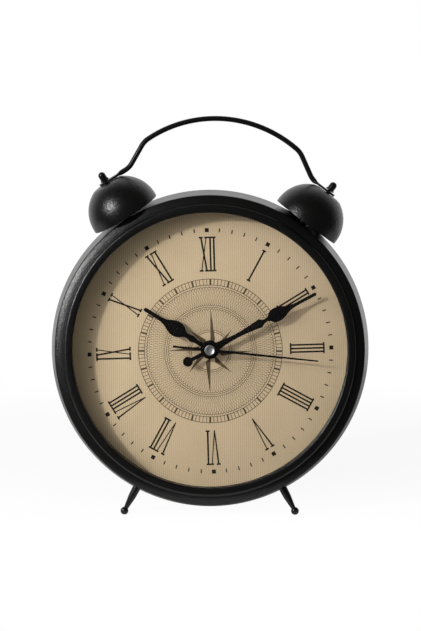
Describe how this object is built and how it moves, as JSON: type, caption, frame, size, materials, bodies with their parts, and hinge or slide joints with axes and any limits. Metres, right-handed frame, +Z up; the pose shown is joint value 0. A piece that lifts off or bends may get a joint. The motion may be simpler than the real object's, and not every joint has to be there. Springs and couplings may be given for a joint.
{
  "type": "twin-bell table clock",
  "caption": "Round black table clock with bell-shaped fittings and a wire handle on top, Roman dial, spade hands, and a geared quartz movement behind.",
  "frame": {"origin": "middle of the bounding box on the surface the clock stands on", "axes": "+X to the right seen from the front, +Y to the rear, +Z up"},
  "size_m": [0.2342, 0.076, 0.2878],
  "materials": {
    "black_powder_coat": "sand-textured black powder coat",
    "black_coated_aluminium": "sand-textured black powder coat",
    "black_gloss_paint": "gloss black paint",
    "zinc_plated_steel": "zinc plated",
    "clear_glass": "clear, polished",
    "printed_paper": "matt paper on hardboard",
    "black_hand_paint": "matt black",
    "polished_chrome": "polished",
    "black_plastic": "moulded, satin",
    "white_plastic": "moulded, satin",
    "brass": "rolled",
    "copper_winding": "enamelled wire",
    "rotor_magnet": "sintered",
    "board_laminate": "green laminate",
    "battery_jacket": "printed jacket without words"
  },
  "bodies": {
    "case": {"bezel": "black_powder_coat", "case_drum": "black_coated_aluminium", "back_cover": "black_plastic", "bell_left": "black_coated_aluminium", "bell_right": "black_coated_aluminium", "handle": "black_gloss_paint", "leg_left": "black_gloss_paint", "leg_right": "black_gloss_paint", "bell_nut_left": "black_gloss_paint", "bell_nut_right": "black_gloss_paint", "bell_post_left": "black_coated_aluminium", "bell_post_right": "black_coated_aluminium", "bell_stud_left": "zinc_plated_steel", "bell_stud_right": "zinc_plated_steel", "stud_nut_left": "zinc_plated_steel", "stud_nut_right": "zinc_plated_steel", "leg_nut_left": "zinc_plated_steel", "leg_nut_right": "zinc_plated_steel", "back_screw_1": "zinc_plated_steel", "back_screw_2": "zinc_plated_steel", "back_screw_3": "zinc_plated_steel", "back_screw_4": "zinc_plated_steel", "stator": "zinc_plated_steel", "quartz_crystal": "zinc_plated_steel", "glass": "clear_glass", "dial": "printed_paper", "movement_housing": "black_plastic", "movement_cover": "black_plastic", "spacer_ring": "black_plastic", "dial_washer": "brass", "dial_nut": "brass", "contact_positive": "brass", "contact_negative": "brass", "coil": "copper_winding", "circuit_board": "board_laminate"},
    "seconds": {"seconds_wheel": "white_plastic", "second_hand": "black_hand_paint", "second_hand_cap": "polished_chrome"},
    "intermediate": {"intermediate_wheel": "white_plastic"},
    "rotor": {"rotor": "rotor_magnet"},
    "third": {"third_wheel": "white_plastic"},
    "minutes": {"centre_wheel": "brass", "minute_hand": "black_hand_paint"},
    "motion": {"motion_wheel": "white_plastic"},
    "hours": {"hour_wheel": "white_plastic", "hour_hand": "black_hand_paint"},
    "knob": {"setting_knob": "black_plastic"},
    "battery": {"battery": "battery_jacket"}
  },
  "joints": [
    {"name": "seconds_turn", "type": "hinge", "parent": "case", "child": "seconds", "pos_m": [0, -0.02464, 0.12103], "axis": [0, 0.992, -0.126], "continuous": true},
    {"name": "intermediate_turn", "type": "hinge", "parent": "case", "child": "intermediate", "pos_m": [-0.00166, -0.02345, 0.13035], "axis": [0, 0.992, -0.126], "continuous": true},
    {"name": "rotor_turn", "type": "hinge", "parent": "case", "child": "rotor", "pos_m": [0.00086, -0.02258, 0.1372], "axis": [0, 0.992, -0.126], "continuous": true},
    {"name": "third_turn", "type": "hinge", "parent": "case", "child": "third", "pos_m": [0.00904, -0.02443, 0.12261], "axis": [0, 0.992, -0.126], "continuous": true},
    {"name": "minutes_turn", "type": "hinge", "parent": "case", "child": "minutes", "pos_m": [0, -0.02464, 0.12103], "axis": [0, 0.992, -0.126], "continuous": true},
    {"name": "motion_turn", "type": "hinge", "parent": "case", "child": "motion", "pos_m": [-0.00773, -0.02437, 0.12308], "axis": [0, 0.992, -0.126], "continuous": true},
    {"name": "hours_turn", "type": "hinge", "parent": "case", "child": "hours", "pos_m": [0, -0.02464, 0.12103], "axis": [0, 0.992, -0.126], "continuous": true},
    {"name": "knob_turn", "type": "hinge", "parent": "case", "child": "knob", "pos_m": [-0.01509, -0.02384, 0.1273], "axis": [0, 0.992, -0.126], "continuous": true},
    {"name": "battery_slide", "type": "slide", "parent": "case", "child": "battery", "axis": [0, 0.992, -0.126], "range_m": [0, 0.04]}
  ],
  "couplings": [
    {"joint": "intermediate_turn", "follows": "seconds_turn", "ratio": -5},
    {"joint": "rotor_turn", "follows": "seconds_turn", "ratio": 30},
    {"joint": "third_turn", "follows": "seconds_turn", "ratio": -0.13333},
    {"joint": "minutes_turn", "follows": "seconds_turn", "ratio": 0.016667},
    {"joint": "motion_turn", "follows": "seconds_turn", "ratio": -0.0055556},
    {"joint": "hours_turn", "follows": "seconds_turn", "ratio": 0.0013889},
    {"joint": "knob_turn", "follows": "seconds_turn", "ratio": 0.013333}
  ]
}
